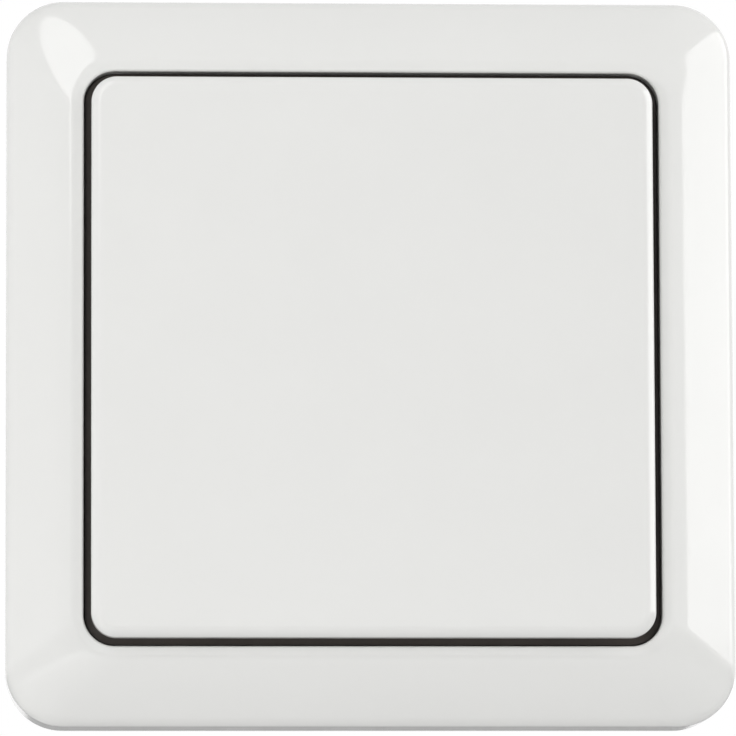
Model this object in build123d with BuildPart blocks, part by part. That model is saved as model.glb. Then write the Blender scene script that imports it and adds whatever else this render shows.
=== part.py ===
from build123d import *
import math
import os

# A wireless wall switch: one large rocker in a square frame, in front of a case that holds
# a battery transmitter. X runs to the right and Z up, as seen from the room. The wall is the
# plane Y = 0 and the front faces -Y. Sizes are in millimetres and angles in degrees.
# A height is a distance out from the wall.

# Frame
frame_size = 80.0
frame_corner_radius = 6.3
frame_border = 8.45
frame_face_drop = 4.0
frame_face_arch = 0.45
frame_edge_round = 2.4
frame_wall = 1.8
frame_back_gap = 0.3
frame_rib = 1.2
frame_rib_spacing = 40.0
opening_corner_radius = 3.4
opening_wall = 1.4
lip_land = 1.25
lip_crest_round = 2.2
lip_round = 0.3

# Snap ribs that hold the frame behind the edge of the base plate
snap_length = 12.0
snap_reach = 0.6
snap_height = 0.7
snap_root = 1.0
snap_taper = 30.0
snap_play = 0.2

# Rocker
rocker_gap = 0.8
rocker_proud = 2.5
rocker_corner_radius = 2.8
rocker_edge_round = 1.2
rocker_plate = 1.8
rocker_rim = 1.6
rocker_skirt = 0.7
rocker_tilt = 2.5
rocker_stop_gap = 0.25
rocker_rib = 1.0
rocker_rib_depth = 0.9
rocker_rib_spacing = 24.0
rocker_rib_end_gap = 5.0
foot_diameter = 4.0
foot_crown = 0.3
foot_gap = 0.05

# Rocker bearing: stub pins on two lugs, snapped into forked ears of the case cover
pin_diameter = 2.2
pin_clearance = 0.05
pin_length = 2.4
pin_chamfer = 0.3
lug_radius = 1.4
lug_thickness = 1.8
lug_edge_distance = 3.85
lug_floor_gap = 0.2
ear_thickness = 2.0
ear_width = 5.0
ear_side_gap = 0.2
ear_above_axis = 1.1
ear_roof_gap = 0.3
ear_mouth = 1.9
ear_corner_round = 0.5

# Base plate
base_floor = 1.6
base_fit = 0.25
base_rim = 1.4
base_rim_height = 3.4
wall_screw_pitch = 60.0
wall_slot_length = 7.0
wall_slot_width = 4.2
pad_recess_width = 18.0
pad_recess_length = 42.0
pad_recess_spacing = 24.0
pad_recess_depth = 0.4
pad_recess_corner = 2.0

# Transmitter case
cover_fit = 0.2
cover_seat_gap = 0.05
cover_plate = 1.2
cover_rim = 1.3
cover_flange = 5.85
cover_headroom = 0.45
case_corner_radius = 5.0
case_wall = 1.2
case_joint_below_cover = 1.0
case_lip = 1.0
case_lip_depth = 2.2
case_lip_fit = 0.15
tray_gap = 0.2
tray_floor = 1.0

# Screws that hold the case to the base plate
module_screw_inset = 3.95
module_screw_diameter = 2.2
module_screw_length = 7.0
module_screw_head_diameter = 4.6
module_screw_head_angle = 90.0
module_screw_clearance = 0.2
module_screw_seat_gap = 0.05
module_post_diameter = 6.4
screw_hole_end_gap = 0.6

# Screws that close the case on the board
case_screw_inset = 3.6
case_screw_diameter = 1.7
case_screw_length = 5.5
case_screw_head_diameter = 4.0
case_screw_head_height = 0.9
case_screw_clearance = 0.25
case_screw_recess = 1.1
case_post_diameter = 4.6
tray_boss_floor = 0.9
tray_boss_wall = 0.8
pilot_clearance = 0.02
cross_slot_width = 0.5
cross_slot_depth = 0.45
cross_slot_share = 0.6

# Circuit board and its battery
board_thickness = 1.0
board_fit = 0.2
cell_diameter = 20.0
cell_thickness = 3.2
cell_ledge = 1.2
cell_cap_height = 0.4
cell_edge_bevel = 0.25
contact_thickness = 0.25
contact_length = 14.0
contact_width = 5.0
clip_thickness = 0.3
clip_width = 8.0
clip_side_gap = 0.5
clip_foot = 2.2
clip_bend = 0.7

# Push rods, return springs and snap domes
wire_sides = 8
rod_inset = 6.1
rod_diameter = 3.0
rod_clearance = 0.05
rod_head_diameter = 5.0
rod_head_height = 0.8
rod_head_bevel = 0.2
rod_tip_chamfer = 0.4
rod_dome_gap = 0.35
guide_length = 1.8
guide_wall = 1.0
spring_diameter = 5.0
spring_wire = 0.35
spring_turns = 3.5
spring_length = 2.6
spring_end_gap = 0.02
spring_bore_gap = 0.3
dome_diameter = 8.0
dome_height = 0.5
dome_metal = 0.15

# Parts on the board
component_inset = 9.5
chip_length = 4.9
chip_width = 3.9
chip_height = 1.4
chip_standoff = 0.1
chip_bevel = 0.25
chip_pin_pitch = 1.27
chip_pin_rows = 4
chip_pin_width = 0.4
chip_pin_thickness = 0.2
chip_pin_reach = 1.05
chip_pin_shoulder = 0.4
chip_pin_bend = 0.15
resonator_size = 5.0
resonator_height = 1.6
resonator_lid_inset = 0.4
resonator_lid_height = 0.5
resonator_corner_radius = 0.6
antenna_wire = 0.8
antenna_edge_distance = 2.1
antenna_length = 26.0
antenna_height = 2.8
antenna_bend = 1.3
lamp_length = 3.2
lamp_width = 1.6
lamp_base_height = 0.5
lamp_lens_height = 0.6
lamp_lens_length = 2.0
lamp_lens_round = 0.25
lamp_inset = 3.0
chip_part_length = 2.0
chip_part_width = 1.25
resistor_height = 0.5
capacitor_height = 0.9
chip_part_pitch = 2.4
chip_part_count = 3
chip_part_bevel = 0.1

# Sizes across the switch, worked out from the frame inwards
opening_size = frame_size - 2 * frame_border
rocker_size = opening_size - 2 * rocker_gap
cover_size = opening_size - 2 * cover_fit
cover_corner_radius = opening_corner_radius - cover_fit
cover_plate_size = opening_size + 2 * opening_wall
cover_plate_corner_radius = opening_corner_radius + opening_wall
lip_corner_radius = opening_corner_radius + lip_land
base_size = frame_size - 2 * (frame_wall + base_fit)
base_corner_radius = frame_corner_radius - frame_wall - base_fit
case_size = cover_size - 2 * cover_flange
case_inside = case_size - 2 * case_wall
board_size = case_inside - 2 * board_fit
module_screw_spacing = cover_size - 2 * module_screw_inset
case_screw_spacing = board_size - 2 * case_screw_inset
rod_offset = board_size / 2 - rod_inset
component_offset = board_size / 2 - component_inset
lug_inner = rocker_size / 2 - lug_edge_distance - lug_thickness
ear_outer = lug_inner - ear_side_gap
spring_bore_diameter = spring_diameter + 2 * spring_bore_gap
guide_diameter = spring_bore_diameter + 2 * guide_wall

# Heights, worked out from the wall outwards
tray_back = base_floor + tray_gap
board_back = tray_back + case_screw_recess + tray_boss_floor
board_front = board_back + board_thickness
cell_back = board_front + contact_thickness
cell_front = cell_back + cell_thickness
cover_back = cell_front + clip_thickness + cover_headroom
cover_front = cover_back + cover_plate
case_joint = cover_back - case_joint_below_cover
axis_height = cover_front + lug_floor_gap + lug_radius
ear_front = axis_height + ear_above_axis
rocker_back = ear_front + ear_roof_gap
rocker_front = rocker_back + rocker_plate
rocker_skirt_back = rocker_back - rocker_skirt
rocker_travel = rocker_size / 2 * math.sin(math.radians(rocker_tilt))
cover_rim_front = rocker_skirt_back - rocker_travel - rocker_stop_gap
lip_height = rocker_front - rocker_proud
frame_edge_height = lip_height - frame_face_drop
opening_wall_back = cover_front + cover_seat_gap
frame_seat = base_floor + base_rim_height
rod_front = axis_height
rod_head_back = rod_front - rod_head_height
spring_seat = rod_head_back - spring_length
guide_back = spring_seat - guide_length
rod_back = board_front + dome_height + rod_dome_gap


def level(height):
    """A plane parallel to the wall and facing the room, at this height."""
    return Plane.XZ.offset(height)


def square(size, radius, mode=Mode.ADD):
    """A square with rounded corners."""
    return RectangleRounded(size, size, radius, mode=mode)


def frame_form(inset):
    """The frame's block with its arched face, drawn in from the outside by one wall thickness."""
    run = frame_border - lip_land - inset
    edge = frame_edge_height - inset
    corner = frame_corner_radius - inset
    with BuildPart() as form:
        with BuildSketch(level(frame_back_gap)):
            square(frame_size - 2 * inset, corner)
        extrude(amount=edge - frame_back_gap)
        for share in (0.0, 0.5, 1.0):
            rise = frame_face_drop * ((1 + frame_face_arch) * share - frame_face_arch * share**2)
            with BuildSketch(level(edge + rise)):
                square(
                    frame_size - 2 * (inset + run * share),
                    corner + (lip_corner_radius - corner) * share,
                )
        loft()
    return form.part


os.makedirs("parts", exist_ok=True)

# Hollow of the frame, which leaves the wall round the opening and the ribs standing
with BuildPart() as frame_hollow:
    add(frame_form(frame_wall))
    with BuildSketch(level(opening_wall_back)):
        square(cover_plate_size, cover_plate_corner_radius)
    extrude(amount=lip_height - opening_wall_back, mode=Mode.SUBTRACT)
    with BuildSketch(level(frame_seat)):
        with GridLocations(frame_rib_spacing, 0, 2, 1):
            Rectangle(frame_rib, frame_size)
        with GridLocations(0, frame_rib_spacing, 1, 2):
            Rectangle(frame_size, frame_rib)
    extrude(amount=lip_height - frame_seat, mode=Mode.SUBTRACT)

# Frame
with BuildPart() as frame:
    add(frame_form(0))
    outer_edges = frame.edges().filter_by_position(Axis.Y, -frame_edge_height, -frame_edge_height)
    fillet(outer_edges, frame_edge_round)
    fillet(frame.faces().sort_by(Axis.Y)[0].edges(), lip_crest_round)
    add(frame_hollow.part, mode=Mode.SUBTRACT)
    with BuildSketch(level(frame_back_gap)):
        square(cover_plate_size + 2 * cover_fit, cover_plate_corner_radius + cover_fit)
    extrude(amount=opening_wall_back - frame_back_gap, mode=Mode.SUBTRACT)
    with BuildSketch(level(opening_wall_back)):
        square(opening_size, opening_corner_radius)
    extrude(amount=lip_height - opening_wall_back, mode=Mode.SUBTRACT)
    fillet(frame.faces().sort_by(Axis.Y)[0].inner_wires()[0].edges(), lip_round)
    with BuildSketch(level(frame_back_gap + snap_height)):
        with PolarLocations(frame_size / 2 - frame_wall + (snap_root - snap_reach) / 2, 4):
            Rectangle(snap_root + snap_reach, snap_length)
    extrude(amount=-snap_height, taper=snap_taper)
frame.part.label = "frame"
export_step(frame.part, "parts/frame.step")

# Rocker, with its hinge lugs, stub pins and the two feet that press the push rods
with BuildPart() as rocker:
    with BuildSketch(level(rocker_skirt_back)):
        square(rocker_size, rocker_corner_radius)
    extrude(amount=rocker_front - rocker_skirt_back)
    fillet(rocker.faces().sort_by(Axis.Y)[0].edges(), rocker_edge_round)
    with BuildSketch(level(rocker_skirt_back)):
        square(rocker_size - 2 * rocker_rim, rocker_corner_radius - rocker_rim)
    extrude(amount=rocker_skirt, mode=Mode.SUBTRACT)
    with BuildSketch(level(rocker_back)):
        with GridLocations(rocker_rib_spacing, 0, 2, 1):
            Rectangle(rocker_rib, rocker_size - 2 * rocker_rib_end_gap)
    extrude(amount=-rocker_rib_depth)
    for side in (-1, 1):
        with BuildSketch(Plane.YZ.offset(side * lug_inner)):
            with Locations((-axis_height, 0)):
                Circle(lug_radius)
                Rectangle(rocker_back - axis_height, 2 * lug_radius, align=(Align.MAX, Align.CENTER))
        extrude(amount=side * lug_thickness)
        with BuildSketch(Plane.YZ.offset(side * lug_inner)):
            with Locations((-axis_height, 0)):
                Circle(pin_diameter / 2)
        extrude(amount=-side * pin_length)
        pin_end = side * (lug_inner - pin_length)
        chamfer(rocker.edges().filter_by_position(Axis.X, pin_end, pin_end), pin_chamfer)
        with BuildSketch(Plane.XY.offset(side * rod_offset)):
            with BuildLine():
                foot_tip = (0, -axis_height - foot_gap)
                foot_side = (foot_diameter / 2, -axis_height - foot_gap - foot_crown)
                TangentArc(foot_tip, foot_side, tangent=(1, 0))
                Polyline(foot_side, (foot_diameter / 2, -rocker_back), (0, -rocker_back), foot_tip)
            make_face()
        revolve(axis=Axis((0, 0, side * rod_offset), (0, 1, 0)))
rocker.part.label = "rocker"
export_step(rocker.part, "parts/rocker.step")

# Base plate, with slots for wall screws, a rim that carries the frame and posts for the case
with BuildPart() as base_plate:
    with BuildSketch(level(0)):
        square(base_size, base_corner_radius)
    extrude(amount=base_floor)
    with BuildSketch(level(base_floor)):
        square(base_size, base_corner_radius)
        square(base_size - 2 * base_rim, base_corner_radius - base_rim, mode=Mode.SUBTRACT)
    extrude(amount=base_rim_height)
    with BuildSketch(level(base_floor)):
        with GridLocations(module_screw_spacing, module_screw_spacing, 2, 2):
            Circle(module_post_diameter / 2)
    extrude(amount=cover_back - base_floor)
    with Locations(level(cover_back)):
        with GridLocations(module_screw_spacing, module_screw_spacing, 2, 2):
            Hole(
                module_screw_diameter / 2 + pilot_clearance,
                module_screw_length - cover_plate + screw_hole_end_gap,
            )
    with BuildSketch(level(0)):
        with PolarLocations(wall_screw_pitch / 2, 4):
            SlotOverall(wall_slot_length, wall_slot_width)
    extrude(amount=base_floor, mode=Mode.SUBTRACT)
    snap_notch = snap_reach - base_fit + snap_play
    with BuildSketch(level(0)):
        with PolarLocations((base_size - snap_notch) / 2, 4):
            Rectangle(snap_notch, snap_length + 2 * snap_play)
    extrude(amount=frame_back_gap + snap_height + snap_play, mode=Mode.SUBTRACT)
    with BuildSketch(level(0)):
        with GridLocations(pad_recess_spacing, 0, 2, 1):
            RectangleRounded(pad_recess_width, pad_recess_length, pad_recess_corner)
    extrude(amount=pad_recess_depth, mode=Mode.SUBTRACT)
base_plate.part.label = "base_plate"
export_step(base_plate.part, "parts/base_plate.step")

# Front half of the case: the carrier of the rocker, with its bearings and the push rods' guides
with BuildPart() as case_cover:
    with BuildSketch(level(cover_back)):
        square(cover_plate_size, cover_plate_corner_radius)
    extrude(amount=cover_plate)
    with BuildSketch(level(cover_front)):
        square(cover_size, cover_corner_radius)
        square(cover_size - 2 * cover_rim, cover_corner_radius - cover_rim, mode=Mode.SUBTRACT)
    extrude(amount=cover_rim_front - cover_front)
    lip_outside = case_inside - 2 * case_lip_fit
    lip_inside = lip_outside - 2 * case_lip
    lip_corner = case_corner_radius - case_wall - case_lip_fit
    with BuildSketch(level(case_joint)):
        square(case_size, case_corner_radius)
        square(lip_inside, lip_corner - case_lip, mode=Mode.SUBTRACT)
    extrude(amount=cover_back - case_joint)
    with BuildSketch(level(cover_back - case_lip_depth)):
        square(lip_outside, lip_corner)
        square(lip_inside, lip_corner - case_lip, mode=Mode.SUBTRACT)
    extrude(amount=case_lip_depth)
    with BuildSketch(level(board_front)):
        with GridLocations(case_screw_spacing, case_screw_spacing, 2, 2):
            Circle(case_post_diameter / 2)
    extrude(amount=cover_back - board_front)
    with BuildSketch(level(guide_back)):
        with GridLocations(0, 2 * rod_offset, 1, 2):
            Circle(guide_diameter / 2)
    extrude(amount=cover_back - guide_back)
    for side in (-1, 1):
        with BuildSketch(Plane.YZ.offset(side * (ear_outer - ear_thickness))):
            with Locations((-cover_back, 0)):
                RectangleRounded(
                    ear_front - cover_back, ear_width, ear_corner_round, align=(Align.MAX, Align.CENTER)
                )
            with Locations((-axis_height, 0)):
                Circle(pin_diameter / 2 + pin_clearance, mode=Mode.SUBTRACT)
                Rectangle(
                    ear_above_axis, ear_mouth, align=(Align.MAX, Align.CENTER), mode=Mode.SUBTRACT
                )
        extrude(amount=side * ear_thickness)
    with Locations(level(cover_front)):
        with GridLocations(0, 2 * rod_offset, 1, 2):
            CounterBoreHole(
                rod_diameter / 2 + rod_clearance,
                spring_bore_diameter / 2,
                cover_front - spring_seat,
                cover_front - guide_back,
            )
        with GridLocations(module_screw_spacing, module_screw_spacing, 2, 2):
            CounterSinkHole(
                module_screw_diameter / 2 + module_screw_clearance,
                module_screw_head_diameter / 2 + module_screw_seat_gap,
                cover_plate,
                module_screw_head_angle,
            )
    case_pilot_depth = tray_back + case_screw_recess + case_screw_length + screw_hole_end_gap - board_front
    with BuildSketch(level(board_front)):
        with GridLocations(case_screw_spacing, case_screw_spacing, 2, 2):
            Circle(case_screw_diameter / 2 + pilot_clearance)
    extrude(amount=case_pilot_depth, mode=Mode.SUBTRACT)
case_cover.part.label = "case_cover"
export_step(case_cover.part, "parts/case_cover.step")

# Rear half of the case
with BuildPart() as case_tray:
    with BuildSketch(level(tray_back)):
        square(case_size, case_corner_radius)
    extrude(amount=case_joint - tray_back)
    with BuildSketch(level(tray_back + tray_floor)):
        square(case_inside, case_corner_radius - case_wall)
    extrude(amount=case_joint - tray_back - tray_floor, mode=Mode.SUBTRACT)
    case_recess_radius = case_screw_head_diameter / 2 + case_screw_clearance
    with BuildSketch(level(tray_back)):
        with GridLocations(case_screw_spacing, case_screw_spacing, 2, 2):
            Circle(case_recess_radius + tray_boss_wall)
    extrude(amount=board_back - tray_back)
    with Locations(-level(tray_back)):
        with GridLocations(case_screw_spacing, case_screw_spacing, 2, 2):
            CounterBoreHole(
                case_screw_diameter / 2 + case_screw_clearance,
                case_recess_radius,
                case_screw_recess,
                board_back - tray_back,
            )
case_tray.part.label = "case_tray"
export_step(case_tray.part, "parts/case_tray.step")

# Circuit board
with BuildPart() as circuit_board:
    with BuildSketch(level(board_back)):
        square(board_size, case_corner_radius - case_wall - board_fit)
        with GridLocations(case_screw_spacing, case_screw_spacing, 2, 2):
            Circle(case_screw_diameter / 2 + case_screw_clearance, mode=Mode.SUBTRACT)
    extrude(amount=board_thickness)
circuit_board.part.label = "circuit_board"
export_step(circuit_board.part, "parts/circuit_board.step")

# Push rods, return springs and snap domes, one of each above and below the hinge
for place, side in (("upper", 1), ("lower", -1)):
    rod_plane = Plane.XY.offset(side * rod_offset)
    rod_axis = Axis((0, 0, side * rod_offset), (0, 1, 0))

    with BuildPart() as push_rod:
        with BuildSketch(rod_plane) as rod_profile:
            with Locations((0, -rod_front)):
                Rectangle(rod_head_diameter / 2, rod_head_height, align=Align.MIN)
            chamfer(rod_profile.vertices().group_by(Axis.X)[-1], rod_head_bevel)
            with Locations((0, -rod_front)):
                Rectangle(rod_diameter / 2, rod_front - rod_back, align=Align.MIN)
            chamfer(rod_profile.vertices().sort_by(Axis.Y)[-2:].sort_by(Axis.X)[-1], rod_tip_chamfer)
        revolve(axis=rod_axis)
    push_rod.part.label = f"{place}_push_rod"
    export_step(push_rod.part, f"parts/{place}_push_rod.step")

    with BuildPart() as return_spring:
        coil_height = spring_length - spring_wire - 2 * spring_end_gap
        with BuildLine() as coil:
            Helix(
                coil_height / spring_turns,
                coil_height,
                (spring_diameter - spring_wire) / 2,
                center=(0, -spring_seat - spring_end_gap - spring_wire / 2, side * rod_offset),
                direction=(0, -1, 0),
            )
        with BuildSketch(Plane(origin=coil.line @ 0, z_dir=coil.line % 0)):
            RegularPolygon(spring_wire / 2, wire_sides)
        sweep(is_frenet=True)
    return_spring.part.label = f"{place}_return_spring"
    export_step(return_spring.part, f"parts/{place}_return_spring.step")

    with BuildPart() as snap_dome:
        with BuildSketch(rod_plane):
            with BuildLine():
                outside = TangentArc(
                    (0, -board_front - dome_height), (dome_diameter / 2, -board_front), tangent=(1, 0)
                )
                inside = TangentArc(
                    (0, -board_front - dome_height + dome_metal),
                    (dome_diameter / 2 - 2 * dome_metal, -board_front),
                    tangent=(1, 0),
                )
                Line(outside @ 0, inside @ 0)
                Line(outside @ 1, inside @ 1)
            make_face()
        revolve(axis=rod_axis)
    snap_dome.part.label = f"{place}_snap_dome"
    export_step(snap_dome.part, f"parts/{place}_snap_dome.step")

# Coin cell, its cap towards the board
with BuildPart() as coin_cell:
    with BuildSketch(level(cell_back)):
        Circle(cell_diameter / 2 - cell_ledge)
    extrude(amount=cell_cap_height)
    with BuildSketch(level(cell_back + cell_cap_height)):
        Circle(cell_diameter / 2)
    extrude(amount=cell_thickness - cell_cap_height)
    can_edges = coin_cell.edges().filter_by(GeomType.CIRCLE).group_by(SortBy.RADIUS)[-1]
    chamfer(can_edges, cell_edge_bevel)
coin_cell.part.label = "coin_cell"
export_step(coin_cell.part, "parts/coin_cell.step")

# Negative contact between the cell and the board
with BuildPart() as battery_contact:
    with BuildSketch(level(board_front)):
        SlotOverall(contact_length, contact_width)
    extrude(amount=contact_thickness)
battery_contact.part.label = "battery_contact"
export_step(battery_contact.part, "parts/battery_contact.step")

# Positive spring strap over the cell, with two soldered feet
with BuildPart() as battery_clip:
    with BuildSketch(Plane.XY):
        with BuildLine():
            clip_leg = (cell_diameter + clip_thickness) / 2 + clip_side_gap
            clip_foot_height = -board_front - clip_thickness / 2
            clip_strap_height = -cell_front - clip_thickness / 2
            FilletPolyline(
                (-clip_leg - clip_foot, clip_foot_height),
                (-clip_leg, clip_foot_height),
                (-clip_leg, clip_strap_height),
                (clip_leg, clip_strap_height),
                (clip_leg, clip_foot_height),
                (clip_leg + clip_foot, clip_foot_height),
                radius=clip_bend,
            )
        trace(line_width=clip_thickness)
    extrude(amount=clip_width / 2, both=True)
battery_clip.part.label = "battery_clip"
export_step(battery_clip.part, "parts/battery_clip.step")

# Transmitter chip with two rows of bent pins
with BuildPart() as transmitter_chip:
    with BuildSketch(level(board_front + chip_standoff)):
        with Locations((component_offset, component_offset)):
            Rectangle(chip_length, chip_width)
    extrude(amount=chip_height)
    chamfer(transmitter_chip.faces().sort_by(Axis.Y)[0].edges(), chip_bevel)
    chip_pin_height = -board_front - chip_standoff - chip_height / 2
    chip_pin_foot = -board_front - chip_pin_thickness / 2
    for row in range(chip_pin_rows):
        pin_place = component_offset + (row - (chip_pin_rows - 1) / 2) * chip_pin_pitch
        for side in (-1, 1):
            with BuildSketch(Plane.YZ.offset(pin_place)):
                with BuildLine():
                    FilletPolyline(
                        (chip_pin_height, component_offset + side * (chip_width / 2 - chip_bevel)),
                        (chip_pin_height, component_offset + side * (chip_width / 2 + chip_pin_shoulder)),
                        (chip_pin_foot, component_offset + side * (chip_width / 2 + chip_pin_shoulder)),
                        (chip_pin_foot, component_offset + side * (chip_width / 2 + chip_pin_reach)),
                        radius=chip_pin_bend,
                    )
                trace(line_width=chip_pin_thickness)
            extrude(amount=chip_pin_width / 2, both=True)
transmitter_chip.part.label = "transmitter_chip"
export_step(transmitter_chip.part, "parts/transmitter_chip.step")

# Resonator: a ceramic tray with a soldered lid
with BuildPart() as resonator:
    with BuildSketch(level(board_front)):
        with Locations((-component_offset, component_offset)):
            square(resonator_size, resonator_corner_radius)
    extrude(amount=resonator_height - resonator_lid_height)
    with BuildSketch(level(board_front + resonator_height - resonator_lid_height)):
        with Locations((-component_offset, component_offset)):
            square(resonator_size - 2 * resonator_lid_inset, resonator_corner_radius)
    extrude(amount=resonator_lid_height)
resonator.part.label = "resonator"
export_step(resonator.part, "parts/resonator.step")

# Antenna: a wire hoop that stands on the board's left edge
with BuildPart() as antenna:
    antenna_side = -board_size / 2 + antenna_edge_distance
    antenna_top = -board_front - antenna_height
    with BuildLine() as hoop:
        FilletPolyline(
            (antenna_side, -board_front, -antenna_length / 2),
            (antenna_side, antenna_top, -antenna_length / 2),
            (antenna_side, antenna_top, antenna_length / 2),
            (antenna_side, -board_front, antenna_length / 2),
            radius=antenna_bend,
        )
    with BuildSketch(Plane(origin=hoop.line @ 0, z_dir=hoop.line % 0)):
        RegularPolygon(antenna_wire / 2, wire_sides)
    sweep()
antenna.part.label = "antenna"
export_step(antenna.part, "parts/antenna.step")

# Indicator lamp, near the board's lower edge
with BuildPart() as indicator_lamp:
    lamp_place = (component_offset, -board_size / 2 + lamp_inset)
    with BuildSketch(level(board_front)):
        with Locations(lamp_place):
            Rectangle(lamp_length, lamp_width)
    extrude(amount=lamp_base_height)
    with BuildSketch(level(board_front + lamp_base_height)):
        with Locations(lamp_place):
            Rectangle(lamp_lens_length, lamp_width)
    extrude(amount=lamp_lens_height)
    fillet(indicator_lamp.faces().sort_by(Axis.Y)[0].edges(), lamp_lens_round)
indicator_lamp.part.label = "indicator_lamp"
export_step(indicator_lamp.part, "parts/indicator_lamp.step")

# Chip resistors and chip capacitors, a row of each
with BuildPart() as chip_resistors:
    with BuildSketch(level(board_front)):
        with Locations((component_offset, -component_offset)):
            with GridLocations(chip_part_pitch, 0, chip_part_count, 1):
                Rectangle(chip_part_width, chip_part_length)
    extrude(amount=resistor_height)
    chamfer(chip_resistors.faces().group_by(Axis.Y)[0].edges(), chip_part_bevel)
chip_resistors.part.label = "chip_resistors"
export_step(chip_resistors.part, "parts/chip_resistors.step")

with BuildPart() as chip_capacitors:
    with BuildSketch(level(board_front)):
        with Locations((-component_offset, -component_offset)):
            with GridLocations(chip_part_pitch, 0, chip_part_count, 1):
                Rectangle(chip_part_width, chip_part_length)
    extrude(amount=capacitor_height)
    chamfer(chip_capacitors.faces().group_by(Axis.Y)[0].edges(), chip_part_bevel)
chip_capacitors.part.label = "chip_capacitors"
export_step(chip_capacitors.part, "parts/chip_capacitors.step")

# Countersunk screws from the case cover into the base plate's posts
with BuildPart() as module_screws:
    with BuildSketch(level(cover_front)):
        with GridLocations(module_screw_spacing, module_screw_spacing, 2, 2):
            Circle(module_screw_diameter / 2)
    extrude(amount=-module_screw_length)
    cone_slope = math.tan(math.radians(module_screw_head_angle / 2))
    cone_depth = (module_screw_head_diameter - module_screw_diameter) / 2 / cone_slope
    with BuildSketch(level(cover_front)):
        with GridLocations(module_screw_spacing, module_screw_spacing, 2, 2):
            Circle(module_screw_head_diameter / 2)
    extrude(amount=-cone_depth, taper=module_screw_head_angle / 2)
    with BuildSketch(level(cover_front)):
        with GridLocations(module_screw_spacing, module_screw_spacing, 2, 2):
            Rectangle(cross_slot_share * module_screw_head_diameter, cross_slot_width)
            Rectangle(cross_slot_width, cross_slot_share * module_screw_head_diameter)
    extrude(amount=-cross_slot_depth, mode=Mode.SUBTRACT)
module_screws.part.label = "module_screws"
export_step(module_screws.part, "parts/module_screws.step")

# Flat-headed screws from the case tray, through the board, into the cover's posts
with BuildPart() as case_screws:
    case_head_front = tray_back + case_screw_recess
    case_head_back = case_head_front - case_screw_head_height
    with BuildSketch(level(case_head_back)):
        with GridLocations(case_screw_spacing, case_screw_spacing, 2, 2):
            Circle(case_screw_head_diameter / 2)
    extrude(amount=case_screw_head_height)
    with BuildSketch(level(case_head_front)):
        with GridLocations(case_screw_spacing, case_screw_spacing, 2, 2):
            Circle(case_screw_diameter / 2)
    extrude(amount=case_screw_length)
    with BuildSketch(level(case_head_back)):
        with GridLocations(case_screw_spacing, case_screw_spacing, 2, 2):
            Rectangle(cross_slot_share * case_screw_head_diameter, cross_slot_width)
            Rectangle(cross_slot_width, cross_slot_share * case_screw_head_diameter)
    extrude(amount=cross_slot_depth, mode=Mode.SUBTRACT)
case_screws.part.label = "case_screws"
export_step(case_screws.part, "parts/case_screws.step")
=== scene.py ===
"""Looks and stage for a wireless wall switch: a large rocker in a square frame."""

import math

import bmesh
import bpy
from bpy.props import FloatProperty, FloatVectorProperty, IntProperty, PointerProperty
from bpy.types import NodeSocket, Operator, Panel, PropertyGroup
from mathutils import Matrix, Vector


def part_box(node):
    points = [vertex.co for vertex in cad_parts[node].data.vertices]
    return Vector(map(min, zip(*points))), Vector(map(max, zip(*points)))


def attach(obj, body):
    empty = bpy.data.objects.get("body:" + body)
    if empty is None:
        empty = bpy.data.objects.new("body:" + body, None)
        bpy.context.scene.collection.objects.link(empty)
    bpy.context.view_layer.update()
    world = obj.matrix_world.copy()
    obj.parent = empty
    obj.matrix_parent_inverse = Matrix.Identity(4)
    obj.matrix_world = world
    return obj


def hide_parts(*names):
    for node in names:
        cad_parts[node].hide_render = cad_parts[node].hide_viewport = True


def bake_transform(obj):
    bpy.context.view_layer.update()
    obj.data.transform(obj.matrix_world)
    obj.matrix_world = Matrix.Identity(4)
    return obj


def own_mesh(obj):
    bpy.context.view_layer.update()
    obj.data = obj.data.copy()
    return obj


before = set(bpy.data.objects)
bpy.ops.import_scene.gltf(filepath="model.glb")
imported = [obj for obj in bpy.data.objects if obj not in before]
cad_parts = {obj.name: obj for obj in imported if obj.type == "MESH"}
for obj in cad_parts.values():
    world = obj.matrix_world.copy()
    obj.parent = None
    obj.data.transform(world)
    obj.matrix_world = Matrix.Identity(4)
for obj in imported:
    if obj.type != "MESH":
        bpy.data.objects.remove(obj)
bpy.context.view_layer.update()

bl_info = {
    "name": "Wireless wall switch",
    "version": (1, 0, 0),
    "blender": (4, 5, 0),
    "location": "View3D > Sidebar > Wall Switch",
    "description": "Builds the mouldings, finishes and stage of a wireless wall switch",
    "category": "Object",
}

# Lengths are metres. The front faces -Y, and a height is a distance out from the wall.
MM = 0.001
SHARP_ANGLE = math.radians(30.0)
MERGE_DISTANCE = 0.001 * MM
frame_low, frame_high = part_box("frame")
rocker_low, rocker_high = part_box("rocker")
rod_low, rod_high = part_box("upper_push_rod")


def length(label, default, description, low=0.0):
    """A property for a length, no smaller than low."""
    return FloatProperty(
        name=label, description=description, default=default, min=low, unit="LENGTH", precision=5
    )


def angle(label, degrees, description):
    """A property for an angle, given in degrees."""
    turn = math.radians(degrees)
    return FloatProperty(name=label, description=description, default=turn, subtype="ANGLE")


def whole_number(label, default, description):
    """A property for a number of steps."""
    return IntProperty(name=label, description=description, default=default, min=3)


def level(label, default, description):
    """A property for a plain number from nought up."""
    return FloatProperty(name=label, description=description, default=default, min=0.0)


def colour(label, default, description):
    """A property for a colour."""
    return FloatVectorProperty(
        name=label, description=description, default=default, size=3, min=0.0, max=1.0, subtype="COLOR"
    )


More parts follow.
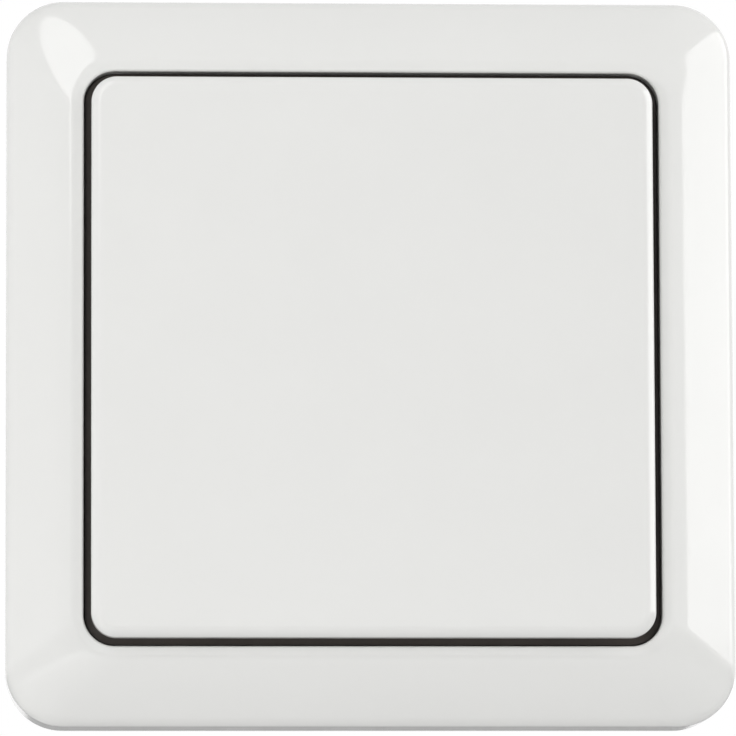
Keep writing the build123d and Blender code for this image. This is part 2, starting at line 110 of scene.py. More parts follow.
class FrameSizes(PropertyGroup):
    """Sizes of the frame's moulding."""

    half: length("Half size", frame_high.x, "From the middle to the outer wall")
    back: length("Back edge", -frame_high.y, "Height of the back edge above the wall")
    corner: length("Corner radius", 6.3 * MM, "Radius of the outer corners")
    border: length("Border", 8.45 * MM, "From the outer wall to the opening")
    lip_height: length("Lip height", -frame_low.y, "Height of the lip round the opening")
    lip_land: length("Lip land", 1.25 * MM, "Width of the flat lip")
    lip_crest_round: length("Lip crest round", 2.2 * MM, "Radius between the face and the lip")
    lip_round: length("Lip round", 0.3 * MM, "Radius between the lip and the opening")
    face_drop: length("Face drop", 4.0 * MM, "Rise of the sloping face from its edge to the lip")
    face_arch: level("Face arch", 0.45, "Share of the rise that bends the face outwards")
    edge_round: length("Edge round", 2.4 * MM, "Radius between the wall and the face")
    wall: length("Wall", 1.8 * MM, "Thickness of the moulding")
    opening_corner: length("Opening corner", 3.4 * MM, "Radius of the opening's corners")
    opening_wall: length("Opening wall", 1.4 * MM, "Thickness of the wall round the opening")
    opening_back: length("Opening wall back", 10.25 * MM, "Height of the opening wall's back edge")
    cover_fit: length("Cover fit", 0.2 * MM, "Room between the ribs and the case cover")
    rib: length("Rib", 1.2 * MM, "Thickness of the ribs inside")
    rib_pitch: length("Rib pitch", 40.0 * MM, "Distance between the two ribs of a side")
    rib_back: length("Rib back", 5.0 * MM, "Height of the ribs' back edges, on the base plate's rim")
    snap_length: length("Snap length", 12.0 * MM, "Length of a snap rib")
    snap_reach: length("Snap reach", 0.6 * MM, "How far a snap rib stands out from the wall")
    snap_lead: length("Snap lead", 0.2 * MM, "How far a snap rib stands out at its back edge")
    snap_height: length("Snap height", 0.7 * MM, "Height of a snap rib")


class RockerSizes(PropertyGroup):
    """Sizes of the rocker's moulding."""

    half: length("Half size", rocker_high.x, "From the middle to the edge")
    front: length("Front", -rocker_low.y, "Height of the face")
    corner: length("Corner radius", 2.8 * MM, "Radius of the corners")
    edge_round: length("Edge round", 1.2 * MM, "Radius round the face")
    plate: length("Plate", 1.8 * MM, "Thickness of the plate")
    rim: length("Rim", 1.6 * MM, "Thickness of the rim")
    skirt: length("Skirt", 0.7 * MM, "How far the rim stands behind the plate")
    rib: length("Rib", 1.0 * MM, "Thickness of the ribs behind the plate")
    rib_depth: length("Rib depth", 0.9 * MM, "How far the ribs stand behind the plate")
    rib_pitch: length("Rib pitch", 24.0 * MM, "Distance between the ribs")
    rib_end: length("Rib end", 5.0 * MM, "From the end of a rib to the rocker's edge")
    pin_radius: length("Pin radius", 1.1 * MM, "Radius of the hinge pins")
    pin_length: length("Pin length", 2.4 * MM, "Length of a hinge pin")
    lug_radius: length("Lug radius", 1.4 * MM, "Radius of the hinge lugs")
    lug_thickness: length("Lug thickness", 1.8 * MM, "Thickness of a hinge lug")
    lug_edge: length("Lug edge distance", 3.85 * MM, "From a lug to the rocker's edge")
    axis_height: length("Axis height", -rod_low.y, "Height of the hinge axis")
    foot_radius: length("Foot radius", 2.0 * MM, "Radius of the feet on the push rods")
    foot_crown: length("Foot crown", 0.3 * MM, "Height of the crowned end of a foot")
    foot_gap: length("Foot gap", 0.05 * MM, "Gap between a foot and its push rod")
    foot_offset: length("Foot offset", (rod_low.z + rod_high.z) / 2, "From the hinge axis to a foot")


class SpringSizes(PropertyGroup):
    """Sizes of the return springs and snap domes."""

    wire: length("Wire", 0.35 * MM, "Diameter of the springs' wire")
    turns: level("Turns", 3.5, "Turns of a return spring")
    dome_metal: length("Dome metal", 0.15 * MM, "Thickness of the snap domes")
    dome_rim: length("Dome rim", 0.3 * MM, "Width of the snap domes' flat rim")
    dome_pressed: level("Pressed dome", 0.09, "Share of its height that a pressed snap dome keeps")


class Finishes(PropertyGroup):
    """Colours of the two plastics and how fine the mouldings are drawn."""

    white: colour("White", (0.80, 0.80, 0.782), "Gloss white of the frame and the rocker")
    carrier: colour("Carrier", (0.062, 0.053, 0.047), "Dark plastic of the base plate and the case")
    gloss: level("Gloss", 0.09, "Roughness of the white plastic")
    corner_steps: whole_number("Corner steps", 24, "Steps round a corner")
    arc_steps: whole_number("Arc steps", 14, "Steps across a rounded edge")
    face_steps: whole_number("Face steps", 28, "Steps across the frame's face")


class WorksColours(PropertyGroup):
    """Colours of the push rods, transmitter and metal pieces, and the pitch of the board's tracks."""

    solder_mask: colour("Solder mask", (0.02, 0.12, 0.05), "Lacquer of the circuit board")
    track: colour("Track", (0.06, 0.22, 0.09), "Lacquer over the board's tracks")
    pad: colour("Pad", (0.66, 0.65, 0.62), "Tinned pads of the board")
    track_pitch: length("Track pitch", 1.3 * MM, "Distance between the board's tracks")
    rod: colour("Push rod", (0.62, 0.6, 0.54), "Plastic of the push rods")
    clip: colour("Battery clip", (0.6, 0.6, 0.58), "Steel of the battery clip")
    cell: colour("Coin cell", (0.68, 0.68, 0.67), "Steel of the coin cell")
    contact: colour("Battery contact", (0.7, 0.52, 0.22), "Brass of the battery contact")
    antenna: colour("Antenna", (0.7, 0.7, 0.69), "Tinned wire of the antenna")
    chip: colour("Chip", (0.02, 0.02, 0.022), "Plastic of the transmitter chip")
    resonator: colour("Resonator", (0.62, 0.58, 0.46), "Ceramic of the resonator")
    lamp: colour("Lamp", (0.7, 0.66, 0.45), "Plastic of the indicator lamp")
    resistor: colour("Resistor", (0.04, 0.04, 0.045), "Ceramic of the resistors")
    capacitor: colour("Capacitor", (0.4, 0.27, 0.14), "Ceramic of the capacitors")
    spring: colour("Spring", (0.56, 0.56, 0.55), "Steel of the springs and snap domes")
    screw: colour("Screw", (0.55, 0.55, 0.56), "Plated steel of the screws")


class StageSettings(PropertyGroup):
    """Camera, floor and lights."""

    azimuth: angle("Azimuth", -3.02, "Camera's turn round the switch, to the right")
    elevation: angle("Elevation", -6.54, "Camera's angle above the horizon")
    roll: angle("Roll", -0.2, "Camera's roll")
    distance: length("Distance", 812.7 * MM, "From the camera to the switch")
    lens: level("Lens", 358.3, "Focal length in millimetres on a 36 mm sensor")
    aim_right: length("Aim right", 0.143 * MM, "Camera's aim to the right of the middle", low=-1.0)
    aim_up: length("Aim up", 0.309 * MM, "Camera's aim above the middle", low=-1.0)
    floor_drop: length("Floor drop", 320.0 * MM, "From the middle of the switch down to the floor")
    floor_radius: length("Floor radius", 12.0, "Radius of the floor")
    floor_steps: whole_number("Floor steps", 96, "Steps round the floor")
    floor_white: level("Floor white", 0.7, "How white the floor is")
    floor_cloud: length("Floor cloud", 400.0 * MM, "Size of the faint clouds on the floor")
    surroundings: level("Surroundings", 1.02, "Light from the surroundings")


class Nodes:
    """Adds nodes to a tree and joins them."""

    def __init__(self, tree):
        self.tree = tree
        tree.nodes.clear()

    def add(self, kind, inputs=None, **settings):
        """One node with its settings; an input is given a value or another node's output."""
        node = self.tree.nodes.new(kind)
        for name, value in settings.items():
            setattr(node, name, value)
        for name, value in (inputs or {}).items():
            if isinstance(value, NodeSocket):
                self.tree.links.new(value, node.inputs[name])
            else:
                node.inputs[name].default_value = value
        return node

    def math(self, operation, first, second=0.0, third=0.0):
        """The result of a sum on up to three numbers."""
        values = {0: first, 1: second, 2: third}
        return self.add("ShaderNodeMath", values, operation=operation).outputs[0]

    def vector(self, operation, first, second=(0.0, 0.0, 0.0)):
        """A node with the result of a sum on up to two vectors."""
        return self.add("ShaderNodeVectorMath", {0: first, 1: second}, operation=operation)


def geometry_tree(label, *inputs):
    """A Geometry Nodes tree with a geometry, the named inputs and a material."""
    tree = bpy.data.node_groups.new(label, "GeometryNodeTree")
    tree.interface.new_socket("Geometry", in_out="INPUT", socket_type="NodeSocketGeometry")
    for name, kind in inputs:
        tree.interface.new_socket(name, in_out="INPUT", socket_type=kind)
    tree.interface.new_socket("Material", in_out="INPUT", socket_type="NodeSocketMaterial")
    tree.interface.new_socket("Geometry", in_out="OUTPUT", socket_type="NodeSocketGeometry")
    nodes = Nodes(tree)
    return tree, nodes, nodes.add("NodeGroupInput").outputs


def end_tree(nodes, geometry, material):
    """Real, smooth geometry with its material, as the tree's result."""
    real = nodes.add("GeometryNodeRealizeInstances", {"Geometry": geometry}).outputs[0]
    smooth = nodes.add("GeometryNodeSetShadeSmooth", {"Geometry": real}).outputs[0]
    painted = nodes.add("GeometryNodeSetMaterial", {"Geometry": smooth, "Material": material}).outputs[0]
    nodes.add("NodeGroupOutput", {"Geometry": painted})


def square_loft_tree():
    """Carries a profile round a square.

    A point of the profile is half the square's size, its corner's radius and a height.
    """
    tree, nodes, given = geometry_tree("Carry round a square", ("Corner Steps", "NodeSocketInt"))
    profile = nodes.add("GeometryNodeAttributeDomainSize", {"Geometry": given["Geometry"]})
    points = profile.outputs["Point Count"]
    corner = nodes.math("ADD", given["Corner Steps"], 1.0)
    around = nodes.math("MULTIPLY_ADD", corner, 4.0, 1.0)
    grid = nodes.add("GeometryNodeMeshGrid", {"Vertices X": points, "Vertices Y": around}).outputs["Mesh"]
    index = nodes.add("GeometryNodeInputIndex").outputs[0]
    row = nodes.math("FLOOR", nodes.math("DIVIDE", index, around))
    place = nodes.math("MODULO", index, around)
    quarter = nodes.math("FLOOR", nodes.math("DIVIDE", place, corner))
    share = nodes.math("DIVIDE", nodes.math("MODULO", place, corner), given["Corner Steps"])
    turn = nodes.math("MULTIPLY", nodes.math("ADD", quarter, share), math.pi / 2)
    diagonal = nodes.math("MULTIPLY", nodes.math("ADD", quarter, 0.5), math.pi / 2)
    position = nodes.add("GeometryNodeInputPosition").outputs[0]
    sample = nodes.add("GeometryNodeSampleIndex", data_type="FLOAT_VECTOR")
    tree.links.new(given["Geometry"], sample.inputs["Geometry"])
    tree.links.new(position, sample.inputs["Value"])
    tree.links.new(row, sample.inputs["Index"])
    half, radius, height = nodes.add("ShaderNodeSeparateXYZ", {0: sample.outputs["Value"]}).outputs
    straight = nodes.math("SUBTRACT", half, radius)
    across = []
    for wave in ("COSINE", "SINE"):
        side = nodes.math("SIGN", nodes.math(wave, diagonal))
        bend = nodes.math("MULTIPLY", radius, nodes.math(wave, turn))
        across.append(nodes.math("MULTIPLY_ADD", straight, side, bend))
    back = nodes.math("MULTIPLY", height, -1.0)
    spot = nodes.add("ShaderNodeCombineXYZ", {0: across[0], 1: back, 2: across[1]}).outputs[0]
    placed = nodes.add("GeometryNodeSetPosition", {"Geometry": grid, "Position": spot}).outputs[0]
    seam = {"Geometry": placed, "Distance": MERGE_DISTANCE}
    closed = nodes.add("GeometryNodeMergeByDistance", seam).outputs[0]
    end_tree(nodes, closed, given["Material"])
    return tree


def repeat_tree():
    """Repeats one piece: rows of it on a side, and the side turned about the middle."""
    tree, nodes, given = geometry_tree(
        "Repeat about the middle",
        ("Turns", "NodeSocketInt"),
        ("Rows", "NodeSocketInt"),
        ("Pitch", "NodeSocketFloat"),
    )
    count = nodes.math("MULTIPLY", given["Turns"], given["Rows"])
    line = nodes.add("GeometryNodeMeshLine", {"Count": count}).outputs[0]
    index = nodes.add("GeometryNodeInputIndex").outputs[0]
    step = nodes.math("DIVIDE", 2 * math.pi, given["Turns"])
    turn = nodes.math("MULTIPLY", nodes.math("FLOOR", nodes.math("DIVIDE", index, given["Rows"])), step)
    middle = nodes.math("MULTIPLY", nodes.math("SUBTRACT", given["Rows"], 1.0), 0.5)
    row = nodes.math("SUBTRACT", nodes.math("MODULO", index, given["Rows"]), middle)
    along = nodes.math("MULTIPLY", row, given["Pitch"])
    right = nodes.math("MULTIPLY", along, nodes.math("COSINE", turn))
    down = nodes.math("MULTIPLY", along, nodes.math("SINE", turn))
    spot = nodes.add("ShaderNodeCombineXYZ", {0: right, 2: nodes.math("MULTIPLY", down, -1.0)}).outputs[0]
    placed = nodes.add("GeometryNodeSetPosition", {"Geometry": line, "Position": spot}).outputs[0]
    rotation = nodes.add("ShaderNodeCombineXYZ", {1: turn}).outputs[0]
    pieces = nodes.add(
        "GeometryNodeInstanceOnPoints",
        {"Points": placed, "Instance": given["Geometry"], "Rotation": rotation},
    ).outputs[0]
    end_tree(nodes, pieces, given["Material"])
    return tree


def coil_tree():
    """Winds a round wire into a coil that rises from the origin, away from the wall."""
    tree, nodes, given = geometry_tree(
        "Wind a coil",
        ("Turns", "NodeSocketFloat"),
        ("Coil Radius", "NodeSocketFloat"),
        ("Height", "NodeSocketFloat"),
        ("Wire Radius", "NodeSocketFloat"),
        ("Turn Steps", "NodeSocketInt"),
        ("Wire Sides", "NodeSocketInt"),
    )
    winding = {
        "Resolution": given["Turn Steps"],
        "Rotations": given["Turns"],
        "Start Radius": given["Coil Radius"],
        "End Radius": given["Coil Radius"],
        "Height": given["Height"],
    }
    path = nodes.add("GeometryNodeCurveSpiral", winding).outputs[0]
    section = {"Resolution": given["Wire Sides"], "Radius": given["Wire Radius"]}
    ring = nodes.add("GeometryNodeCurvePrimitiveCircle", section).outputs[0]
    sweep = {"Curve": path, "Profile Curve": ring, "Fill Caps": True}
    wire = nodes.add("GeometryNodeCurveToMesh", sweep).outputs[0]
    outwards = {"Geometry": wire, "Rotation": (math.pi / 2, 0.0, 0.0)}
    turned = nodes.add("GeometryNodeTransform", outwards).outputs[0]
    end_tree(nodes, turned, given["Material"])
    return tree


def grown(mesh, tree, **values):
    """A plain mesh: what the tree makes of a mesh, with the tree's inputs given by name."""
    seed = bpy.data.objects.new("seed", mesh)
    bpy.context.scene.collection.objects.link(seed)
    modifier = seed.modifiers.new("grow", "NODES")
    modifier.node_group = tree
    for item in tree.interface.items_tree:
        name = item.name.replace(" ", "_").lower()
        if item.in_out == "INPUT" and name in values:
            modifier[item.identifier] = values[name]
    depsgraph = bpy.context.evaluated_depsgraph_get()
    result = bpy.data.meshes.new_from_object(seed.evaluated_get(depsgraph))
    bpy.data.objects.remove(seed)
    return result


def points_mesh(points):
    """A mesh of loose points."""
    mesh = bpy.data.meshes.new("profile")
    mesh.from_pydata(points, [], [])
    return mesh


def prism(outline, start, end, place):
    """A mesh of an outline drawn out from start to end; place turns (across, up, along) into a point."""
    count = len(outline)
    points = [place(across, up, along) for along in (start, end) for across, up in outline]
    sides = [(k, (k + 1) % count, count + (k + 1) % count, count + k) for k in range(count)]
    ends = [tuple(range(count)), tuple(range(2 * count - 1, count - 1, -1))]
    mesh = bpy.data.meshes.new("prism")
    mesh.from_pydata(points, [], sides + ends)
    return mesh


def arc(centre, radius, start, end, steps):
    """Points of an arc, from one angle to another."""
    turns = [start + (end - start) * step / steps for step in range(steps + 1)]
    return [(centre[0] + radius * math.cos(turn), centre[1] + radius * math.sin(turn)) for turn in turns]


def crown(radius, rim, height, steps):
    """Points of a crowned end, from its middle, which stands this height beyond the rim, to its rim."""
    bow = (radius**2 + height**2) / (2 * height)
    halves = [radius * step / steps for step in range(steps + 1)]
    return [(half, rim + height - bow * (1 - math.sqrt(1 - (half / bow) ** 2))) for half in halves]


def round_profile(points):
    """A profile that is carried round a circle instead of a square."""
    return points_mesh([(half, half, height) for half, height in points])


def new_piece(label, meshes, material, node):
    """One piece of one material made of several meshes, which stands for a CAD node."""
    whole = bmesh.new()
    for mesh in meshes:
        whole.from_mesh(mesh)
    for face in whole.faces:
        face.material_index = 0
    bmesh.ops.recalc_face_normals(whole, faces=whole.faces)
    result = bpy.data.meshes.new(label)
    whole.to_mesh(result)
    whole.free()
    result.materials.append(material)
    result.shade_smooth()
    result.set_sharp_from_angle(angle=SHARP_ANGLE)
    piece = bpy.data.objects.new(label, result)
    bpy.context.scene.collection.objects.link(piece)
    normals = piece.modifiers.new("normals", "WEIGHTED_NORMAL")
    normals.keep_sharp = True
    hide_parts(node)
    return piece


def new_material(label):
    """An empty node material, with its nodes and Object coordinates."""
    material = bpy.data.materials.new(label)
    material.use_nodes = True
    nodes = Nodes(material.node_tree)
    return material, nodes, nodes.add("ShaderNodeTexCoord").outputs["Object"]


NOISE_LOW = 0.3
NOISE_HIGH = 0.7


def noise(nodes, place, size, detail=2.0, stretch=(1.0, 1.0, 1.0)):
    """Noise whose features are about this size."""
    mapping = nodes.add("ShaderNodeMapping", {"Vector": place, "Scale": stretch}).outputs[0]
    texture = nodes.add("ShaderNodeTexNoise", {"Vector": mapping, "Scale": 1.0 / size, "Detail": detail})
    return texture.outputs["Fac"]


def spread(nodes, share, low, high):
    """A noise, most of which lies between two values, spread from low to high."""
    inputs = {
        "Value": share,
        "From Min": NOISE_LOW,
        "From Max": NOISE_HIGH,
        "To Min": low,
        "To Max": high,
    }
    return nodes.add("ShaderNodeMapRange", inputs).outputs[0]


def mixed(nodes, share, first, second):
    """A colour that goes from one to another with a share."""
    return nodes.add("ShaderNodeMix", {0: share, 6: first, 7: second}, data_type="RGBA").outputs[2]


def tinted(nodes, share, tint, change):
    """A colour that a noise makes lighter or darker by a share of itself."""
    dark = [part * (1.0 - change) for part in tint] + [1.0]
    light = [min(1.0, part * (1.0 + change)) for part in tint] + [1.0]
    return mixed(nodes, spread(nodes, share, 0.0, 1.0), dark, light)


def finish_material(nodes, material, **inputs):
    """Ends a material in a Principled shader with these inputs."""
    sockets = {name.replace("_", " "): value for name, value in inputs.items()}
    shader = nodes.add("ShaderNodeBsdfPrincipled", sockets)
    nodes.add("ShaderNodeOutputMaterial", {"Surface": shader.outputs[0]})
    return material


def bump(nodes, height, depth):
    """A bump of this depth, in metres."""
    return nodes.add("ShaderNodeBump", {"Height": height, "Strength": 1.0, "Distance": depth}).outputs[0]


POLISHED_IOR = 1.58
MOULDED_IOR = 1.5


def gloss_plastic(label, tint, roughness, cloud=14.0 * MM, patch=5.0 * MM, peel=2.6 * MM):
    """Polished moulding: almost even in colour, with faint patches in its gloss and a slight peel."""
    material, nodes, place = new_material(label)
    peel_height = noise(nodes, place, peel, detail=1.0)
    return finish_material(
        nodes,
        material,
        Base_Color=tinted(nodes, noise(nodes, place, cloud), tint, change=0.006),
        Roughness=spread(nodes, noise(nodes, place, patch), 0.8 * roughness, 1.2 * roughness),
        IOR=POLISHED_IOR,
        Normal=bump(nodes, peel_height, depth=0.0012 * MM),
    )


def matte_plastic(label, tint, roughness, grain=0.22 * MM, cloud=6.0 * MM):
    """Moulding with a fine eroded grain."""
    material, nodes, place = new_material(label)
    texture = noise(nodes, place, grain, detail=3.0)
    return finish_material(
        nodes,
        material,
        Base_Color=tinted(nodes, noise(nodes, place, cloud), tint, change=0.08),
        Roughness=spread(nodes, texture, 0.9 * roughness, min(1.0, 1.15 * roughness)),
        IOR=MOULDED_IOR,
        Normal=bump(nodes, texture, depth=0.008 * MM),
    )


DRAWN_UPWARDS = (1.0, 1.0, 14.0)
DRAWN_ACROSS = (14.0, 1.0, 1.0)


def brushed_metal(label, tint, roughness, stretch=DRAWN_UPWARDS, line=0.9 * MM, cloud=3.0 * MM):
    """Drawn or rolled metal, with fine lines along one way."""
    material, nodes, place = new_material(label)
    lines = noise(nodes, place, line, detail=4.0, stretch=stretch)
    return finish_material(
        nodes,
        material,
        Base_Color=tinted(nodes, noise(nodes, place, cloud), tint, change=0.05),
        Roughness=spread(nodes, lines, 0.7 * roughness, 1.3 * roughness),
        Metallic=1.0,
        Normal=bump(nodes, lines, depth=0.0015 * MM),
    )


# Sizes on the circuit board, as shares of the distance between its tracks
CELL_MIDDLE = (0.5, 0.0, 0.5)
TRACK_HALF = 0.13
PAD_RADIUS = 0.32
# Share of the board's cells without a pad
PADLESS_CELLS = 0.8


def laminate(label, colours, patch=1.2 * MM):
    """Circuit board: a lacquer over short tracks, one to a cell of a grid, with tinned pads on some."""
    material, nodes, place = new_material(label)
    fine = 1.0 / colours.track_pitch
    grid = nodes.add("ShaderNodeMapping", {"Vector": place, "Scale": (fine, 0.0, fine)}).outputs[0]
    cell = nodes.vector("FLOOR", grid).outputs["Vector"]
    inside = nodes.vector("SUBTRACT", grid, cell).outputs["Vector"]
    right, _, up = nodes.add("ShaderNodeSeparateXYZ", {0: inside}).outputs
    draw = nodes.add("ShaderNodeTexWhiteNoise", {"Vector": cell}).outputs["Value"]
    across = nodes.add("ShaderNodeMix", {0: nodes.math("ROUND", draw), 2: right, 3: up}).outputs[0]
    track = nodes.math("COMPARE", across, CELL_MIDDLE[0], TRACK_HALF)
    away = nodes.vector("DISTANCE", inside, CELL_MIDDLE).outputs["Value"]
    round_pad = nodes.math("LESS_THAN", away, PAD_RADIUS)
    pad = nodes.math("MULTIPLY", round_pad, nodes.math("GREATER_THAN", draw, PADLESS_CELLS))
    lacquer = mixed(nodes, track, (*colours.solder_mask, 1.0), (*colours.track, 1.0))
    return finish_material(
        nodes,
        material,
        Base_Color=mixed(nodes, pad, lacquer, (*colours.pad, 1.0)),
        Metallic=pad,
        Roughness=spread(nodes, noise(nodes, place, patch), 0.3, 0.45),
        IOR=MOULDED_IOR,
        Normal=bump(nodes, nodes.math("MAXIMUM", track, pad), depth=0.02 * MM),
    )


def paint_nodes(material, *names):
    """Gives carried-over CAD nodes their material."""
    for name in names:
        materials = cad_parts[name].data.materials
        materials.clear()
        materials.append(material)


def solved(function, low, high, halvings=40):
    """The place between low and high where a falling function is nought."""
    for _ in range(halvings):
        middle = (low + high) / 2
        low, high = (middle, high) if function(middle) > 0.0 else (low, middle)
    return (low + high) / 2


def rise(sizes, share):
    """Rise of the arched face, at this share of the way from its edge to the lip."""
    return sizes.face_drop * ((1 + sizes.face_arch) * share - sizes.face_arch * share**2)


def frame_profile(sizes, finishes):
    """The frame's section, from its back edge round and back again.

    A point is half the square's size, its corner's radius and a height.
    """
    opening = sizes.half - sizes.border
    lip_half = opening + sizes.lip_land
    run = sizes.half - lip_half
    edge_height = sizes.lip_height - sizes.face_drop

    def tilt(share):
        return math.atan(sizes.face_drop / run * (1 + sizes.face_arch - 2 * sizes.face_arch * share))

    def inside(share, radius):
        half = sizes.half - run * share - radius * math.sin(tilt(share))
        return half, edge_height + rise(sizes, share) - radius * math.cos(tilt(share))

    def with_corner(half, height):
        lip_corner = sizes.opening_corner + sizes.lip_land
        share = (half - lip_half) / run
        if half > lip_half:
            return half, lip_corner + (sizes.corner - lip_corner) * share, height
        return half, lip_corner + half - lip_half, height

    def edge_miss(share):
        return inside(share, sizes.edge_round)[0] - sizes.half + sizes.edge_round

    def crest_miss(share):
        return sizes.lip_height - sizes.lip_crest_round - inside(share, sizes.lip_crest_round)[1]

    edge = solved(edge_miss, 0.0, 0.5)
    crest = solved(crest_miss, 0.5, 1.0)
    upright = math.pi / 2
    steps = finishes.arc_steps
    section = [(sizes.half, sizes.back)]
    section += arc(inside(edge, sizes.edge_round), sizes.edge_round, 0.0, upright - tilt(edge), steps)
    for step in range(1, finishes.face_steps):
        section.append(inside(edge + (crest - edge) * step / finishes.face_steps, 0.0))
    crest_centre = inside(crest, sizes.lip_crest_round)
    section += arc(crest_centre, sizes.lip_crest_round, upright - tilt(crest), upright, steps)
    lip_centre = (opening + sizes.lip_round, sizes.lip_height - sizes.lip_round)
    section += arc(lip_centre, sizes.lip_round, upright, math.pi, steps)
    section.append((opening, sizes.opening_back))
    outside = [with_corner(*point) for point in section]

    inner_half = sizes.half - sizes.wall
    inner_corner = sizes.corner - sizes.wall
    wall_half = opening + sizes.opening_wall
    wall_corner = sizes.opening_corner + sizes.opening_wall
    hidden = [(wall_half, wall_corner, sizes.opening_back)]
    for step in range(finishes.arc_steps + 1):
        share = step / finishes.arc_steps
        half = wall_half + (inner_half - wall_half) * share
        corner = wall_corner + (inner_corner - wall_corner) * share
        hidden.append((half, corner, ceiling(sizes, half)))
    hidden.append((inner_half, inner_corner, sizes.back))
    return outside + hidden + outside[:1]


def ceiling(sizes, half):
    """Height of the hollow's roof at this distance from the middle."""
    run = sizes.border - sizes.lip_land - sizes.wall
    share = (sizes.half - sizes.wall - half) / run
    return sizes.lip_height - sizes.face_drop - sizes.wall + rise(sizes, min(share, 1.0))


class WALLSWITCH_OT_frame(Operator):
    """Builds the frame's moulding with its ribs and snap ribs"""

    bl_idname = "wallswitch.frame"
    bl_label = "Frame"

    def execute(self, context):
        sizes = context.scene.switch_frame
        finishes = context.scene.switch_finishes
        white = gloss_plastic("white_frame_plastic", finishes.white, finishes.gloss)
        repeat = repeat_tree()
        profile = points_mesh(frame_profile(sizes, finishes))
        shell = grown(profile, square_loft_tree(), corner_steps=finishes.corner_steps, material=white)
        opening = sizes.half - sizes.border
        inner = sizes.half - sizes.wall
        wall = opening + sizes.opening_wall
        rib_start = wall + sizes.cover_fit
        middle = (wall + inner) / 2
        rib_outline = [
            (rib_start, sizes.rib_back),
            (inner, sizes.rib_back),
            (inner, ceiling(sizes, inner)),
            (middle, ceiling(sizes, middle)),
            (wall, ceiling(sizes, wall)),
            (wall, sizes.opening_back),
            (rib_start, sizes.opening_back),
        ]
        snap_outline = [
            (inner, sizes.back),
            (inner, sizes.back + sizes.snap_height),
            (inner - sizes.snap_reach, sizes.back + sizes.snap_height),
            (inner - sizes.snap_lead, sizes.back),
        ]

        def on_top(across, up, along):
            return along, -up, across

        rib = prism(rib_outline, -sizes.rib / 2, sizes.rib / 2, on_top)
        snap = prism(snap_outline, -sizes.snap_length / 2, sizes.snap_length / 2, on_top)
        ribs = grown(rib, repeat, turns=4, rows=2, pitch=sizes.rib_pitch, material=white)
        snaps = grown(snap, repeat, turns=4, rows=1, pitch=0.0, material=white)
        piece = new_piece("frame_moulding", [shell, ribs, snaps], white, "frame")
        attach(piece, "switch_base")
        return {"FINISHED"}


class WALLSWITCH_OT_rocker(Operator):
    """Builds the rocker's moulding with its ribs, hinge pins and feet"""

    bl_idname = "wallswitch.rocker"
    bl_label = "Rocker"

    def execute(self, context):
        sizes = context.scene.switch_rocker
        finishes = context.scene.switch_finishes
        white = gloss_plastic("white_rocker_plastic", finishes.white, finishes.gloss)
        repeat = repeat_tree()
        plate_back = sizes.front - sizes.plate
        rim_back = plate_back - sizes.skirt
        round_centre = (sizes.half - sizes.edge_round, sizes.front - sizes.edge_round)
        edge = arc(round_centre, sizes.edge_round, math.pi / 2, 0.0, finishes.arc_steps)
        outside = [(half, sizes.corner - (sizes.half - half), height) for half, height in edge]
        rim_half = sizes.half - sizes.rim
        rim_corner = sizes.corner - sizes.rim
        profile = [
            (0.0, 0.0, sizes.front),
            *outside,
            (sizes.half, sizes.corner, rim_back),
            (rim_half, rim_corner, rim_back),
            (rim_half, rim_corner, plate_back),
            (0.0, 0.0, plate_back),
        ]
        steps = finishes.corner_steps
        carry = square_loft_tree()
        plate = grown(points_mesh(profile), carry, corner_steps=steps, material=white)

        def along_height(across, up, along):
            return across, -along, up

        def along_side(across, up, along):
            return along, -across, up

        reach = sizes.half - sizes.rib_end
        side = sizes.rib / 2
        rib_outline = [(-side, -reach), (side, -reach), (side, reach), (-side, reach)]
        rib = prism(rib_outline, plate_back - sizes.rib_depth, plate_back, along_height)
        lug_end = arc((sizes.axis_height, 0.0), sizes.lug_radius, math.pi / 2, 1.5 * math.pi, steps)
        lug_outline = [(plate_back, sizes.lug_radius), *lug_end, (plate_back, -sizes.lug_radius)]
        lug_inner = sizes.half - sizes.lug_edge - sizes.lug_thickness
        lug = prism(lug_outline, lug_inner, lug_inner + sizes.lug_thickness, along_side)
        pin_outline = arc((sizes.axis_height, 0.0), sizes.pin_radius, 0.0, 2 * math.pi, steps)[1:]
        pin = prism(pin_outline, lug_inner - sizes.pin_length, lug_inner, along_side)
        foot_rim = sizes.axis_height + sizes.foot_gap + sizes.foot_crown
        foot_profile = crown(sizes.foot_radius, foot_rim, -sizes.foot_crown, finishes.arc_steps)
        foot_profile += [(sizes.foot_radius, plate_back), (0.0, plate_back)]
        foot = grown(round_profile(foot_profile), carry, corner_steps=steps, material=white)
        foot.transform(Matrix.Translation((0.0, 0.0, sizes.foot_offset)))
        ribs = grown(rib, repeat, turns=1, rows=2, pitch=sizes.rib_pitch, material=white)
        pairs = []
        for part in (lug, pin, foot):
            pairs.append(grown(part, repeat, turns=2, rows=1, pitch=0.0, material=white))
        piece = new_piece("rocker_moulding", [plate, ribs, *pairs], white, "rocker")
        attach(piece, "rocker")
        return {"FINISHED"}


